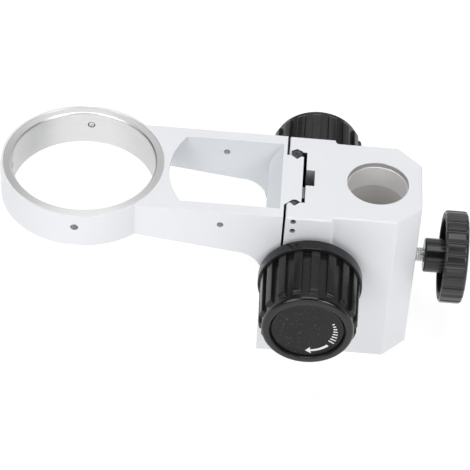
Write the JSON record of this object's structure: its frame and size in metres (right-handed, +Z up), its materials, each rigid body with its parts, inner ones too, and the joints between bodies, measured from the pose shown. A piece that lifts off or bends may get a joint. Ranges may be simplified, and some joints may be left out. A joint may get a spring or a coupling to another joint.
{
  "type": "microscope focusing stand",
  "caption": "Rack-and-pinion focusing stand that clamps on a round post and carries a ring arm for a stereo microscope body.",
  "frame": {"origin": "on the post bore axis, at the underside of the focus block", "axes": "+Z up along the post bore; -X points to the ring, +X to the clamp knob; Y runs along the pinion shaft, with the tension knob on -Y"},
  "size_m": [0.2536, 0.1496, 0.101],
  "materials": {
    "white_casting": "satin",
    "black_bar": "matte",
    "steel": "satin",
    "brass": "satin",
    "black_plastic": "satin",
    "cap_plastic": "matte",
    "washer_plastic": "matte"
  },
  "bodies": {
    "focus_block": {"focus_body": "white_casting", "guide_bar_far": "black_bar", "gib_bar_near": "black_bar", "gib_screws": "black_bar", "shaft_bush_near": "brass", "shaft_bush_far": "brass"},
    "carriage": {"ring_carriage": "white_casting", "rack": "steel", "rack_screws": "steel"},
    "pinion": {"pinion_shaft": "steel", "friction_washer_near": "washer_plastic", "friction_washer_far": "washer_plastic", "spring_washer": "steel", "far_knob": "black_plastic", "far_knob_insert": "brass", "far_knob_screw": "steel", "far_knob_cap": "cap_plastic"},
    "tension": {"tension_knob": "black_plastic", "tension_knob_insert": "brass", "tension_knob_cap": "cap_plastic"},
    "clamp_pad": {"clamp_shoe": "brass"},
    "clamp": {"clamp_screw": "steel", "clamp_knob": "black_plastic"},
    "ring_lock_near": {"ring_screw_near": "steel"},
    "ring_lock_far": {"ring_screw_far": "steel"},
    "ring_lock_left": {"ring_screw_left": "steel"}
  },
  "joints": [
    {"name": "focus_slide", "type": "slide", "parent": "focus_block", "child": "carriage", "axis": [0, 0, 1], "range_m": [-0.0199, 0.0299]},
    {"name": "focus_turn", "type": "hinge", "parent": "focus_block", "child": "pinion", "pos_m": [-0.0319, 0, 0.061], "axis": [0, 1, 0], "range_deg": [-239, 359]},
    {"name": "tension_turn", "type": "hinge", "parent": "pinion", "child": "tension", "pos_m": [-0.0319, 0, 0.061], "axis": [0, 1, 0], "range_deg": [-60, 60]},
    {"name": "clamp_feed", "type": "slide", "parent": "focus_block", "child": "clamp_pad", "axis": [-1, 0, 0], "range_m": [-0.0026, 0.0051]},
    {"name": "clamp_turn", "type": "hinge", "parent": "clamp_pad", "child": "clamp", "pos_m": [0.03, 0, 0.0514], "axis": [-1, 0, 0], "range_deg": [-720, 1440]},
    {"name": "ring_lock_near_feed", "type": "slide", "parent": "carriage", "child": "ring_lock_near", "axis": [0, 1, 0], "range_m": [-0.001, 0.002]},
    {"name": "ring_lock_far_feed", "type": "slide", "parent": "carriage", "child": "ring_lock_far", "axis": [0, -1, 0], "range_m": [-0.002, 0.006]},
    {"name": "ring_lock_left_feed", "type": "slide", "parent": "carriage", "child": "ring_lock_left", "axis": [1, 0, 0], "range_m": [-0.001, 0.002]}
  ],
  "couplings": [
    {"joint": "focus_turn", "follows": "focus_slide", "rad_per_m": 208.33},
    {"joint": "clamp_feed", "follows": "clamp_turn", "m_per_rad": 0.00019894}
  ]
}
